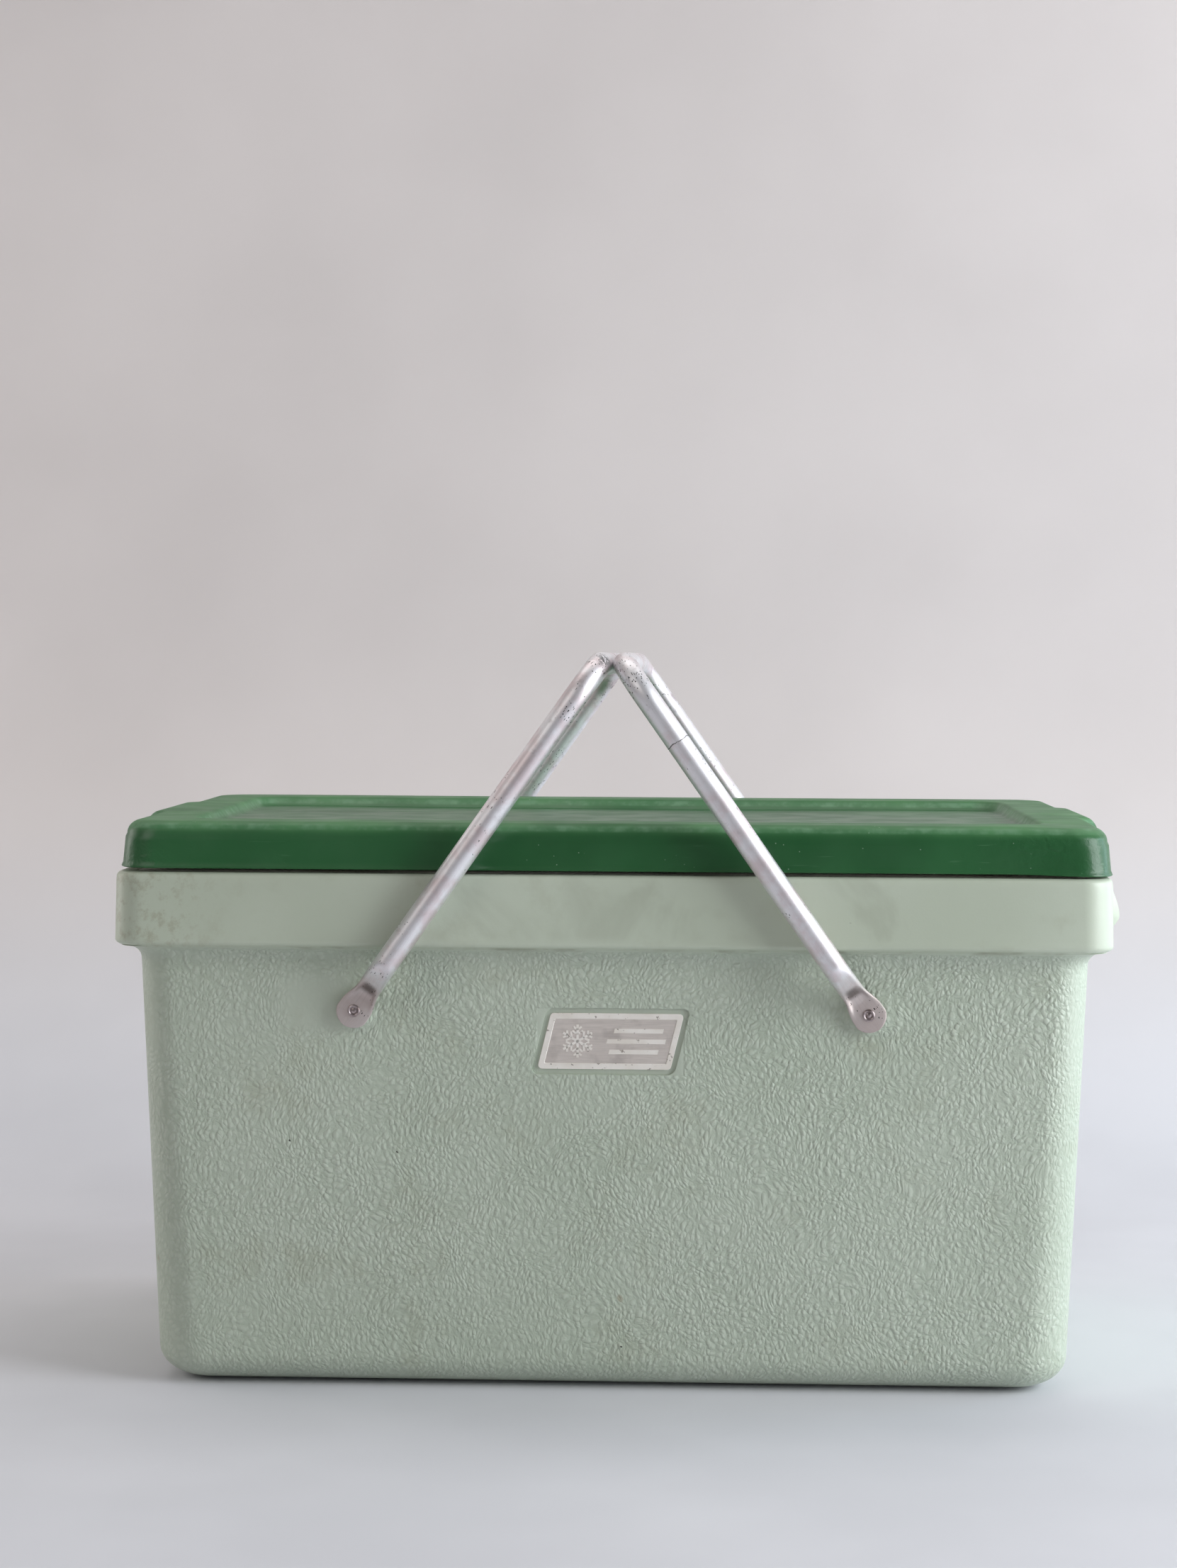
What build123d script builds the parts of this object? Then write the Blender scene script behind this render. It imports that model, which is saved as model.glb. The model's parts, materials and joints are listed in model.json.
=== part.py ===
"""Insulated picnic cooler chest with a lift-off lid and two swing handles.

Frame: millimetres, X to the right, Y to the back, Z up. The origin is the middle of the base.
The front faces -Y. The two handles are mirror images and lean on each other at rest.
"""
import math
import os

from build123d import *

# ---- driving dimensions ----
COLLAR_W, COLLAR_D = 528.0, 325.0      # collar band, outside, at its lower edge
COLLAR_Z0, COLLAR_Z1 = 238.0, 277.0    # lower and upper edge of the collar band
COLLAR_R = 17.0                        # plan radius of the collar's corners
OVERHANG = 11.2                        # collar beyond the body wall
WALL = 3.0                             # moulded shell wall
DRAFT = 2.0                            # body walls, degrees
COLLAR_DRAFT = 1.0                     # collar band, degrees
BASE_R = 24.0                          # rounding of the base edge
BODY_R_TOP, BODY_R_BASE = 20.0, 27.0   # plan radius of the body's corners

LINER_W, LINER_D = 456.0, 253.0        # mouth of the food liner, inside
LINER_WALL = 2.5
LINER_FLOOR = 30.0                     # top of the liner's floor
LINER_R = 30.0
FLANGE = 3.0                           # thickness of the liner's flange
LIP = 9.0                              # shell lip around the flange

LID_INSET = 2.25                       # lid side inside the collar side
LID_Z0, LID_Z1 = 279.0, 303.8          # skirt edge and top of the lid's rim
LID_DRAFT = 4.8
LID_R = 18.0
LID_EDGE_R = 7.0                       # rounding of the lid's top edge
RIM_W = 33.0                           # lid side to the edge of the sunk panel
PANEL_SINK = 5.5                       # depth of the sunk panel
PANEL_SLOPE = 5.0                      # run of the sunk panel's sloped wall
PLUG_DEPTH = 18.0                      # lid pan inside the liner's mouth
PLUG_GAP = 2.2                         # pan to liner
SEAT_GAP = 0.2                         # lid bead to liner flange

TAB_HALF = 55.0                        # half length of the finger tabs and carrying lips
TAB_REACH = 272.5                      # lid tab from the middle, at its foot
TAB_CROWN = 257.5                      # lid tab from the middle, at rim height
LIP_REACH, LIP_Z = 281.0, 248.0        # carrying lip from the middle, and its widest height

TUBE_R, TUBE_WALL = 6.35, 1.2          # handle tube, half inch outside
PIVOT_X, PIVOT_Z = 135.7, 204.0        # handle rivets
GRIP_X, GRIP_Z = 6.5, 387.5            # grip axes at rest
TUBE_Y = 170.4                         # leg axis from the middle plane
BEND_R = 25.0                          # leg to grip, on the axis
TAB_W, TAB_R, TAB_T = 17.2, 9.3, 2.4   # flattened leg end: width, end radius, thickness
TAB_BACK_Y = 152.6                     # back of the flattened end
TAB_TOP, ROUND_FROM = 9.0, 33.0        # pivot to the end of the flat, and to the full round

HOLE_R, SHANK_R = 2.45, 2.38           # running fit of the leg on its rivet
HEAD_R, HEAD_T = 3.3, 0.9
BOSS_R, BOSS_Y = 8.5, 151.4            # moulded pad under each leg end
SPACER_R, SPACER_T = 6.0, 1.1
BACKING_R, BACKING_T = 8.0, 1.2

BADGE_W, BADGE_H, BADGE_SLANT = 70.6, 29.9, 7.3
BADGE_Z = 188.3
BADGE_T, BADGE_R = 0.9, 2.2
RECESS_MARGIN, RECESS_DEPTH = 2.8, 1.4
ADHESIVE_T = 0.25

# ---- worked out from them ----
HALF_W, HALF_D = COLLAR_W / 2, COLLAR_D / 2
SLOPE = math.tan(math.radians(DRAFT))
BACKING_Y = HALF_D - OVERHANG - WALL - (COLLAR_Z0 - PIVOT_Z + BACKING_R) * SLOPE - 0.05
LEAN = math.degrees(math.atan2(PIVOT_X - GRIP_X, GRIP_Z - PIVOT_Z))
LEG = math.hypot(PIVOT_X - GRIP_X, GRIP_Z - PIVOT_Z)


def rounded(width, depth, radius, z):
    return Pos(0, 0, z) * RectangleRounded(width, depth, radius)


def block(low, high):
    """Straight-sided block between two rounded rectangles (width, depth, radius, z)."""
    return loft([rounded(*low), rounded(*high)], ruled=True)


def body_size(z, inset=0.0):
    """Width and depth of the drafted body at a height, optionally inside its wall."""
    shrink = OVERHANG + (COLLAR_Z0 - z) * SLOPE + inset
    return COLLAR_W - 2 * shrink, COLLAR_D - 2 * shrink


def body_block(z0, z1, inset=0.0):
    return block(
        (*body_size(z0, inset), BODY_R_BASE - inset, z0),
        (*body_size(z1, inset), BODY_R_TOP - inset, z1),
    )


def collar_block(z0, z1, inset=0.0):
    rise = math.tan(math.radians(COLLAR_DRAFT))

    def size(z):
        shrink = (z - COLLAR_Z0) * rise + inset
        return COLLAR_W - 2 * shrink, COLLAR_D - 2 * shrink

    return block((*size(z0), COLLAR_R - inset, z0), (*size(z1), COLLAR_R - inset, z1))


def edges_at(shape, z):
    return shape.edges().filter_by(lambda e: abs(e.bounding_box().min.Z - z) < 0.05
                                   and abs(e.bounding_box().max.Z - z) < 0.05)


def crossbar(levels, radius):
    """Bar across the whole chest, lofted through (reach from the middle, z) at each level."""
    return loft([rounded(2 * reach, 2 * TAB_HALF, radius, z) for reach, z in levels], ruled=True)


def y_rod(radius, x, z, y0, y1):
    """Rod along Y between two distances from the middle plane."""
    return Pos(x, (y0 + y1) / 2, z) * Rot(90, 0, 0) * Cylinder(radius, abs(y1 - y0))


def pivots():
    """Name, x position, and sign of y for each of the four handle rivets."""
    for side, x in (("left", -PIVOT_X), ("right", PIVOT_X)):
        for end, sign in (("front", -1), ("rear", 1)):
            yield f"{end}_{side}", x, sign


def wall_plane():
    """Plane on the front wall at the badge's middle, X to the right, Y up the wall."""
    tilt = math.radians(DRAFT)
    y = -body_size(BADGE_Z)[1] / 2
    return Plane(origin=(0, y, BADGE_Z), x_dir=(1, 0, 0), z_dir=(0, -math.cos(tilt), -math.sin(tilt)))


def badge_outline(margin, radius):
    half_w, half_h = BADGE_W / 2 + margin, BADGE_H / 2 + margin
    shift = BADGE_SLANT / 2 * half_h / (BADGE_H / 2)
    corners = [(-half_w - shift, -half_h), (half_w - shift, -half_h),
               (half_w + shift, half_h), (-half_w + shift, half_h)]
    face = make_face(Polyline(*corners, close=True))
    return fillet(face.vertices(), radius)


def badge_layer(margin, radius, low, high):
    """Plate parallel to the front wall, between two depths measured outward from the wall."""
    layer = extrude(badge_outline(margin, radius), high - low)
    return wall_plane() * Pos(0, 0, low) * layer


# ---- outer shell ----
def shell_hollow():
    """Space inside the outer shell, from its floor to the underside of its lip."""
    floor = body_block(WALL, COLLAR_Z0 + WALL, WALL)
    floor = fillet(edges_at(floor, WALL), BASE_R - WALL)
    return floor + collar_block(COLLAR_Z0 + WALL, COLLAR_Z1 - FLANGE, WALL)


def make_outer_shell():
    body = body_block(0, COLLAR_Z0)
    body = fillet(edges_at(body, 0), BASE_R)
    collar = collar_block(COLLAR_Z0, COLLAR_Z1)
    collar = fillet(edges_at(collar, COLLAR_Z0), 3.6)
    collar = fillet(edges_at(collar, COLLAR_Z1), 3.2)
    shell = body + collar
    inner_edges = edges_at(shell, COLLAR_Z0).filter_by(
        lambda e: abs(e.center().X) < HALF_W - OVERHANG + 1 and abs(e.center().Y) < HALF_D - OVERHANG + 1
    )
    shell = fillet(inner_edges, 6.5)
    shell += crossbar([(LIP_REACH - 5, COLLAR_Z0 + 0.7), (LIP_REACH - 2.2, COLLAR_Z0 + 3.2), (LIP_REACH, LIP_Z),
                       (LIP_REACH - 4.5, COLLAR_Z1 - 4), (LIP_REACH - 6.5, COLLAR_Z1 - 1.5)], 9)
    shell -= shell_hollow()
    mouth = block((COLLAR_W - 2 * LIP - 4, COLLAR_D - 2 * LIP - 4, 10, COLLAR_Z1 - FLANGE - 1),
                  (COLLAR_W - 2 * LIP - 4, COLLAR_D - 2 * LIP - 4, 10, COLLAR_Z1 + 1))
    shell -= mouth
    for _, x, sign in pivots():
        shell += y_rod(BOSS_R, x, PIVOT_Z, sign * (BOSS_Y - 3.2), sign * BOSS_Y)
        shell -= y_rod(SHANK_R, x, PIVOT_Z, sign * (BOSS_Y - 12), sign * (BOSS_Y + 5))
    shell -= badge_layer(RECESS_MARGIN, BADGE_R + RECESS_MARGIN * 0.6, -RECESS_DEPTH, 5)
    return shell


# ---- food liner ----
def liner_block(z0, z1, inset):
    def size(z):
        shrink = (COLLAR_Z1 - z) * SLOPE + inset
        return LINER_W - 2 * shrink, LINER_D - 2 * shrink

    return block((*size(z0), LINER_R - inset, z0), (*size(z1), LINER_R - inset, z1))


def liner_outer():
    cup = liner_block(LINER_FLOOR - LINER_WALL, COLLAR_Z1 - FLANGE, -LINER_WALL)
    return fillet(edges_at(cup, LINER_FLOOR - LINER_WALL), 14)


def make_inner_liner():
    gap = 0.3
    flange_size = (COLLAR_W - 2 * LIP - 4 - 2 * gap, COLLAR_D - 2 * LIP - 4 - 2 * gap, 10 - gap)
    flange = block((*flange_size, COLLAR_Z1 - FLANGE), (*flange_size, COLLAR_Z1))
    cavity = liner_block(LINER_FLOOR, COLLAR_Z1 + 0.001, 0)
    cavity = fillet(edges_at(cavity, LINER_FLOOR), 11.5)
    liner = liner_outer() + flange - cavity
    return fillet(edges_at(liner, COLLAR_Z1).filter_by(
        lambda e: abs(e.center().X) < LINER_W / 2 + 1 and abs(e.center().Y) < LINER_D / 2 + 1), 2)


def make_body_insulation():
    foam = shell_hollow() - liner_outer()
    for _, x, sign in pivots():
        foam -= y_rod(BACKING_R + 0.2, x, PIVOT_Z, sign * (BOSS_Y - 12), sign * BOSS_Y)
    return foam


# ---- lid ----
def lid_block(z0, z1, inset=0.0):
    rise = math.tan(math.radians(LID_DRAFT))

    def size(z):
        shrink = LID_INSET + (z - LID_Z0) * rise + inset
        return COLLAR_W - 2 * shrink, COLLAR_D - 2 * shrink

    return block((*size(z0), LID_R - inset, z0), (*size(z1), LID_R - inset, z1))


def sunk_panel(z_low, margin):
    """Cutter for the sunk panel; margin moves its sloped wall outward."""
    def size(run):
        shrink = LID_INSET + RIM_W + run - margin
        return COLLAR_W - 2 * shrink, COLLAR_D - 2 * shrink

    top = LID_Z1 + 1
    rise = top - z_low
    return block((*size(PANEL_SLOPE), 12, z_low), (*size(PANEL_SLOPE * (1 - rise / PANEL_SINK)), 17, top))


def lid_hollow():
    hollow = lid_block(LID_Z0, LID_Z1 - WALL, WALL)
    hollow = fillet(edges_at(hollow, LID_Z1 - WALL), LID_EDGE_R - WALL)
    return hollow - sunk_panel(LID_Z1 - PANEL_SINK - WALL, WALL * 0.8)


def make_lid_shell():
    lid = lid_block(LID_Z0, LID_Z1)
    lid = fillet(edges_at(lid, LID_Z1), LID_EDGE_R)
    lid += crossbar([(TAB_REACH, LID_Z0), (TAB_REACH - 0.5, LID_Z0 + 4), (TAB_CROWN, LID_Z1 - 0.8)], 7)
    lid -= lid_hollow()
    lid -= sunk_panel(LID_Z1 - PANEL_SINK, 0)
    rim_inner = edges_at(lid, LID_Z1).filter_by(
        lambda e: abs(e.center().X) < HALF_W - RIM_W + 3 and abs(e.center().Y) < HALF_D - RIM_W + 3)
    return fillet(rim_inner, 2.0)


def pan_block(z0, z1, inset):
    def size(z):
        shrink = PLUG_GAP + (COLLAR_Z1 - z) * math.tan(math.radians(5)) + inset
        return LINER_W - 2 * shrink, LINER_D - 2 * shrink

    return block((*size(z0), LINER_R - PLUG_GAP - inset, z0), (*size(z1), LINER_R - PLUG_GAP - inset, z1))


def pan_outer():
    """Lid pan without its hollow: flange, bead and plug."""
    edge = lid_block(LID_Z0, LID_Z0 + LINER_WALL, WALL)
    bead = block((LINER_W + 16, LINER_D + 16, LINER_R + 8, COLLAR_Z1 + SEAT_GAP),
                 (LINER_W + 20, LINER_D + 20, LINER_R + 10, LID_Z0))
    plug = pan_block(COLLAR_Z1 - PLUG_DEPTH, COLLAR_Z1 + SEAT_GAP, 0)
    plug = fillet(edges_at(plug, COLLAR_Z1 - PLUG_DEPTH), 8)
    return edge + bead + plug


def pan_hollow():
    hollow = pan_block(COLLAR_Z1 - PLUG_DEPTH + LINER_WALL, LID_Z0 + LINER_WALL, LINER_WALL)
    return fillet(edges_at(hollow, COLLAR_Z1 - PLUG_DEPTH + LINER_WALL), 6)


def make_lid_pan():
    return pan_outer() - pan_hollow()


def make_lid_insulation():
    return (lid_hollow() - lid_block(LID_Z0 - 1, LID_Z0 + LINER_WALL, WALL - 1)) + pan_hollow()


# ---- handles ----
def half_tube(radius, low):
    """Front leg and half of the grip as a round rod, standing over its own pivot line."""
    path = Plane.YZ * FilletPolyline((-TUBE_Y, low), (-TUBE_Y, LEG), (0, LEG), radius=BEND_R)
    section = Plane(origin=(0, -TUBE_Y, low), z_dir=(0, 0, 1)) * Circle(radius)
    return sweep(section, path=path)


def leg_end():
    """Flattened, drilled and set-back foot of the front leg, from the round tube to the pivot."""
    tab_y = -TAB_BACK_Y - TAB_T / 2
    first_w, first_t = TAB_W / 2 - 0.25, TAB_T / 2 - 0.2
    sections = []
    steps = 6
    for i in range(steps + 1):
        ease = (1 - math.cos(math.pi * i / steps)) / 2
        z = TAB_TOP + (ROUND_FROM - TAB_TOP) * i / steps
        y = tab_y + (-TUBE_Y - tab_y) * ease
        half_w = first_w + (TUBE_R - first_w) * ease
        half_t = first_t + (TUBE_R - first_t) * ease
        sections.append(Plane(origin=(0, y, z), z_dir=(0, 0, 1)) * Ellipse(half_w, half_t))
    outline = Circle(TAB_R) & Rectangle(TAB_W, 4 * TAB_R)
    outline += Pos(0, (TAB_TOP + 2) / 2) * Rectangle(TAB_W, TAB_TOP + 2)
    tab = Pos(0, tab_y, 0) * Rot(90, 0, 0) * extrude(outline, TAB_T / 2, both=True)
    return loft(sections) + tab - y_rod(HOLE_R, 0, 0, tab_y - 4, tab_y + 4)


def make_handle(side):
    """Handle on the side of -1 (left) or 1 (right), leaned in against its twin."""
    half = half_tube(TUBE_R, ROUND_FROM) + leg_end()
    half -= half_tube(TUBE_R - TUBE_WALL, ROUND_FROM + 1)
    handle = half + mirror(half, about=Plane.XZ)
    return Pos(side * PIVOT_X, 0, PIVOT_Z) * Rot(0, -side * LEAN, 0) * handle


# ---- rivets and washers ----
def make_rivet(x, sign):
    face = TAB_BACK_Y + TAB_T + 0.05
    inner = BACKING_Y - BACKING_T - 0.05
    rivet = y_rod(HEAD_R, x, PIVOT_Z, sign * face, sign * (face + HEAD_T))
    rivet += y_rod(SHANK_R, x, PIVOT_Z, sign * inner, sign * face)
    rivet += y_rod(HEAD_R, x, PIVOT_Z, sign * (inner - 1.2), sign * inner)
    dimple = y_rod(1.6, x, PIVOT_Z, sign * (face + HEAD_T - 0.6), sign * (face + HEAD_T + 1))
    return rivet - dimple


def make_ring(radius, hole, x, sign, y0, y1):
    ring = y_rod(radius, x, PIVOT_Z, sign * y0, sign * y1)
    return ring - y_rod(hole, x, PIVOT_Z, sign * (y0 - 1), sign * (y1 + 1))


def build():
    nodes = {
        "outer_shell": make_outer_shell(),
        "inner_liner": make_inner_liner(),
        "body_insulation": make_body_insulation(),
        "lid_shell": make_lid_shell(),
        "lid_pan": make_lid_pan(),
        "lid_insulation": make_lid_insulation(),
        "badge_adhesive": badge_layer(-1.5, BADGE_R, -RECESS_DEPTH, -RECESS_DEPTH + ADHESIVE_T),
        "badge_plate": badge_layer(0, BADGE_R, ADHESIVE_T - RECESS_DEPTH, ADHESIVE_T - RECESS_DEPTH + BADGE_T),
        "left_handle": make_handle(-1),
        "right_handle": make_handle(1),
    }
    for name, x, sign in pivots():
        nodes[f"rivet_{name}"] = make_rivet(x, sign)
        nodes[f"spacer_{name}"] = make_ring(SPACER_R, SHANK_R, x, sign, BOSS_Y, BOSS_Y + SPACER_T)
        nodes[f"backing_washer_{name}"] = make_ring(
            BACKING_R, SHANK_R, x, sign, BACKING_Y - BACKING_T, BACKING_Y)
    return nodes


os.makedirs("parts", exist_ok=True)
for node, shape in build().items():
    export_step(shape, f"parts/{node}.step")
    print(node, [round(v, 2) for v in shape.bounding_box().size])
print("handle lean", round(LEAN, 2), "leg length", round(LEG, 2))
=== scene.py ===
"""Picnic cooler chest: grained green body, smooth collar, dark green lid and two tube handles."""
import json
import math

import bmesh
import bpy
from mathutils import Euler, Matrix, Vector, noise


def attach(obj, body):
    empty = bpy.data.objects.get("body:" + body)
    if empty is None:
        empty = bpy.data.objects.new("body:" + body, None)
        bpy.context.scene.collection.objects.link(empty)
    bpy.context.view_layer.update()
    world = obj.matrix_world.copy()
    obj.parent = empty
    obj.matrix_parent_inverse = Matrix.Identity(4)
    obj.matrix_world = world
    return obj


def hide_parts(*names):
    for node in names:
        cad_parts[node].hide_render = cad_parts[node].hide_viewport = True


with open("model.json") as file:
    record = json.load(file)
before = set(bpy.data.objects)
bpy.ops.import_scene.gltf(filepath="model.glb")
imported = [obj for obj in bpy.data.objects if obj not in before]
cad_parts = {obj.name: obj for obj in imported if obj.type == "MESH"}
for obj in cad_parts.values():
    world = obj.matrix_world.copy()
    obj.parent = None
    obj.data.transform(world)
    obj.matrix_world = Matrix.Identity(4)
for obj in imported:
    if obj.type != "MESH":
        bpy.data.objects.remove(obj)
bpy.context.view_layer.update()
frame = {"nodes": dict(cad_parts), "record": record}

MM = 0.001

# ---- chest, in millimetres, in the frame of the CAD model ----
COLLAR_W, COLLAR_D = 528.0, 325.0
COLLAR_Z0, COLLAR_Z1 = 238.0, 277.0
COLLAR_R = 17.0
OVERHANG = 11.2
WALL = 3.0
DRAFT = math.tan(math.radians(2.0))
COLLAR_DRAFT = math.tan(math.radians(1.0))
BASE_R = 24.0
BASE_RISE = 17.5
BODY_R_TOP, BODY_R_BASE = 20.0, 27.0
MOUTH_INSET = 11.0
FLANGE = 3.0

LINER_W, LINER_D = 456.0, 253.0
LINER_WALL = 2.5
LINER_FLOOR = 30.0
LINER_R = 30.0

LID_INSET = 2.25
LID_Z0, LID_Z1 = 279.0, 303.8
LID_DRAFT = math.tan(math.radians(4.8))
LID_R = 18.0
LID_EDGE_R = 7.0
RIM_W = 33.0
PANEL_SINK, PANEL_SLOPE = 5.5, 5.0
PLUG_DEPTH, PLUG_GAP, SEAT_GAP = 18.0, 2.2, 0.2

TAB_HALF = 55.0
LIP_Z, LIP_OUT = 248.0, 16.9
LID_SEAT_X = 1.2
FOOT_LIFT = 0.7
PIVOT_X, PIVOT_Z = 135.7, 204.0
GRIP_X, GRIP_Z = 6.5, 387.5
LEG = math.hypot(PIVOT_X - GRIP_X, GRIP_Z - PIVOT_Z)
LEAN = math.atan2(PIVOT_X - GRIP_X, GRIP_Z - PIVOT_Z)
TUBE_R, TUBE_Y, BEND_R = 6.35, 170.4, 25.0
TAB_W, TAB_R, TAB_T, TAB_BACK_Y = 17.2, 9.3, 2.4, 152.6
TAB_TOP, ROUND_FROM = 5.0, 33.0
BOSS_R, BOSS_Y = 8.5, 151.4
HEAD_R = 3.3

BADGE_W, BADGE_H, BADGE_SLANT, BADGE_Z = 70.6, 29.9, 7.3, 188.3
RECESS_MARGIN, RECESS_DEPTH = 2.8, 1.4
BADGE_LOW, BADGE_T = -1.15, 0.9


# ---------------------------------------------------------------- node trees
class Finish:
    """A material under construction: short calls that add and join shader nodes."""

    def __init__(self, name):
        self.material = bpy.data.materials.new(name)
        self.material.use_nodes = True
        self.tree = self.material.node_tree
        self.shader = self.tree.nodes["Principled BSDF"]
        self.place = self.add("ShaderNodeTexCoord").outputs["Object"]

    def add(self, kind, **settings):
        node = self.tree.nodes.new(kind)
        for key, value in settings.items():
            setattr(node, key, value)
        return node

    def feed(self, socket, value):
        if isinstance(value, bpy.types.NodeSocket):
            self.tree.links.new(value, socket)
        else:
            socket.default_value = value

    def fill(self, node, **values):
        for key, value in values.items():
            self.feed(node.inputs[key], value)

    def noise(self, scale, detail=3.0, rough=0.5, warp=0.0, place=None, colour=False):
        node = self.add("ShaderNodeTexNoise")
        self.fill(node, Vector=place or self.place, Scale=scale, Detail=detail, Roughness=rough,
                  Distortion=warp)
        return node.outputs["Color" if colour else "Fac"]

    def cells(self, scale, feature="F1", place=None, smooth=1.0):
        node = self.add("ShaderNodeTexVoronoi", feature=feature)
        self.fill(node, Vector=place or self.place, Scale=scale)
        if feature == "SMOOTH_F1":
            self.feed(node.inputs["Smoothness"], smooth)
        return node.outputs["Distance"]

    def math(self, operation, a, b=0.0):
        node = self.add("ShaderNodeMath", operation=operation)
        self.feed(node.inputs[0], a)
        self.feed(node.inputs[1], b)
        return node.outputs[0]

    def times(self, first, *others):
        for other in others:
            first = self.math("MULTIPLY", first, other)
        return first

    def plus(self, a, b):
        return self.math("ADD", a, b)

    def rest(self, share):
        return self.math("SUBTRACT", 1.0, share)

    def vector_math(self, operation, a, b=None, scale=None):
        node = self.add("ShaderNodeVectorMath", operation=operation)
        self.feed(node.inputs[0], a)
        if b is not None:
            self.feed(node.inputs[1], b)
        if scale is not None:
            self.feed(node.inputs["Scale"], scale)
        return node.outputs[0]

    def ramp(self, value, low, high, out_low=0.0, out_high=1.0):
        node = self.add("ShaderNodeMapRange", clamp=True, interpolation_type="SMOOTHSTEP")
        for socket, setting in zip(("Value", "From Min", "From Max", "To Min", "To Max"),
                                   (value, low, high, out_low, out_high)):
            self.feed(node.inputs[socket], setting)
        return node.outputs["Result"]

    def blot(self, scale, detail, low, high, out_low=0.0, out_high=1.0):
        return self.ramp(self.noise(scale, detail), low, high, out_low, out_high)

    def mix(self, factor, a, b):
        """Blend of two colours, each a socket or three display levels."""
        a, b = (c if isinstance(c, bpy.types.NodeSocket) else (*srgb(*c), 1.0) for c in (a, b))
        node = self.add("ShaderNodeMix", data_type="RGBA")
        self.fill(node, Factor=factor, A=a, B=b)
        return node.outputs["Result"]

    def axes(self):
        node = self.add("ShaderNodeSeparateXYZ")
        self.feed(node.inputs[0], self.place)
        return node.outputs

    def scaled(self, place, scale):
        return self.vector_math("MULTIPLY", place, scale)

    def stretched(self, scale):
        return self.scaled(self.place, scale)

    def attribute(self, name):
        return self.add("ShaderNodeAttribute", attribute_name=name).outputs["Fac"]

    def bump(self, height, distance, strength=1.0):
        node = self.add("ShaderNodeBump")
        self.fill(node, Height=height, Distance=distance, Strength=strength)
        return node.outputs[0]

    def done(self, **sockets):
        for key, value in sockets.items():
            self.feed(self.shader.inputs[key.replace("_", " ").title().replace("Ior", "IOR")], value)
        return self.material


def srgb(*levels):
    """Linear colour of display levels from 11 to 255."""
    return tuple(((v / 255 + 0.055) / 1.055) ** 2.4 for v in levels)


# ---------------------------------------------------------------- meshes
def rounded_outline(half_w, half_d, radius, columns):
    """Points of a rounded rectangle at the shared column stations of a ring."""
    points = []
    radius = max(radius, 0.05)
    for side, station in columns:
        flat_w, flat_d = half_w - radius, half_d - radius
        if side in ("front", "back"):
            y = half_d if side == "back" else -half_d
            points.append(Vector((station_to(station, flat_w), y, 0)))
        elif side in ("right", "left"):
            x = half_w if side == "right" else -half_w
            points.append(Vector((x, station_to(station, flat_d), 0)))
        else:
            corner_x, corner_y, angle = side
            points.append(Vector((corner_x * flat_w + radius * math.cos(angle),
                                  corner_y * flat_d + radius * math.sin(angle), 0)))
    return points


def station_to(station, flat):
    """A station is a true distance near the middle, and is squeezed to fit a shorter flat."""
    value, full = station
    return value if flat >= full else value * flat / full


def ring_columns(half_w, half_d, radius, x_stations, y_stations, corner_steps):
    """Column stations anticlockwise from the front left, flats at given places and corners by angle."""
    flat_w, flat_d = half_w - radius, half_d - radius
    columns = [("front", (x, flat_w)) for x in x_stations]
    columns += corner_columns(1, -1, -math.pi / 2, corner_steps)
    columns += [("right", (y, flat_d)) for y in y_stations]
    columns += corner_columns(1, 1, 0, corner_steps)
    columns += [("back", (-x, flat_w)) for x in x_stations]
    columns += corner_columns(-1, 1, math.pi / 2, corner_steps)
    columns += [("left", (-y, flat_d)) for y in y_stations]
    columns += corner_columns(-1, -1, math.pi, corner_steps)
    return columns


def corner_columns(sign_x, sign_y, start, steps):
    return [((sign_x, sign_y, start + math.pi / 2 * i / steps), None) for i in range(steps + 1)]


def level_ring(half_w, half_d, radius, columns, z):
    ring = rounded_outline(half_w, half_d, radius, columns)
    for point in ring:
        point.z = z
    return ring


def mirrored(values):
    """A half row of positive stations and its mirror image, in rising order."""
    return [-v for v in reversed(values)] + [v for v in values if v > 0]


def skin(rings):
    """Closed mesh through rings of equally many points, each ring extruded from the last."""
    bm = bmesh.new()
    bmesh.ops.create_circle(bm, segments=len(rings[0]))
    column = bm.verts.layers.int.new("column")
    level = bm.verts.layers.int.new("level")
    bm.verts.ensure_lookup_table()
    for i, vert in enumerate(bm.verts):
        vert[column] = i
        vert.co = rings[0][i] * MM
    edges = first = list(bm.edges)
    for number, ring in enumerate(rings[1:], 1):
        made = bmesh.ops.extrude_edge_only(bm, edges=edges)["geom"]
        fresh = set(only_verts(made))
        for vert in fresh:
            vert.co = ring[vert[column]] * MM
            vert[level] = number
        edges = [e for e in bm.edges if e.verts[0] in fresh and e.verts[1] in fresh]
    bmesh.ops.contextual_create(bm, geom=first)
    bmesh.ops.contextual_create(bm, geom=edges)
    bmesh.ops.recalc_face_normals(bm, faces=bm.faces)
    return bm


def only_verts(geometry):
    return [v for v in geometry if isinstance(v, bmesh.types.BMVert)]


def shade_faces(mesh, smooth=True):
    for polygon in mesh.polygons:
        polygon.use_smooth = smooth


def to_object(bm, name, materials, smooth=True):
    if bm.calc_volume(signed=True) < 0:
        bmesh.ops.reverse_faces(bm, faces=bm.faces)
    mesh = bpy.data.meshes.new(name)
    bm.to_mesh(mesh)
    bm.free()
    for material in materials:
        mesh.materials.append(material)
    shade_faces(mesh, smooth)
    obj = bpy.data.objects.new(name, mesh)
    bpy.context.scene.collection.objects.link(obj)
    return obj


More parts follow.
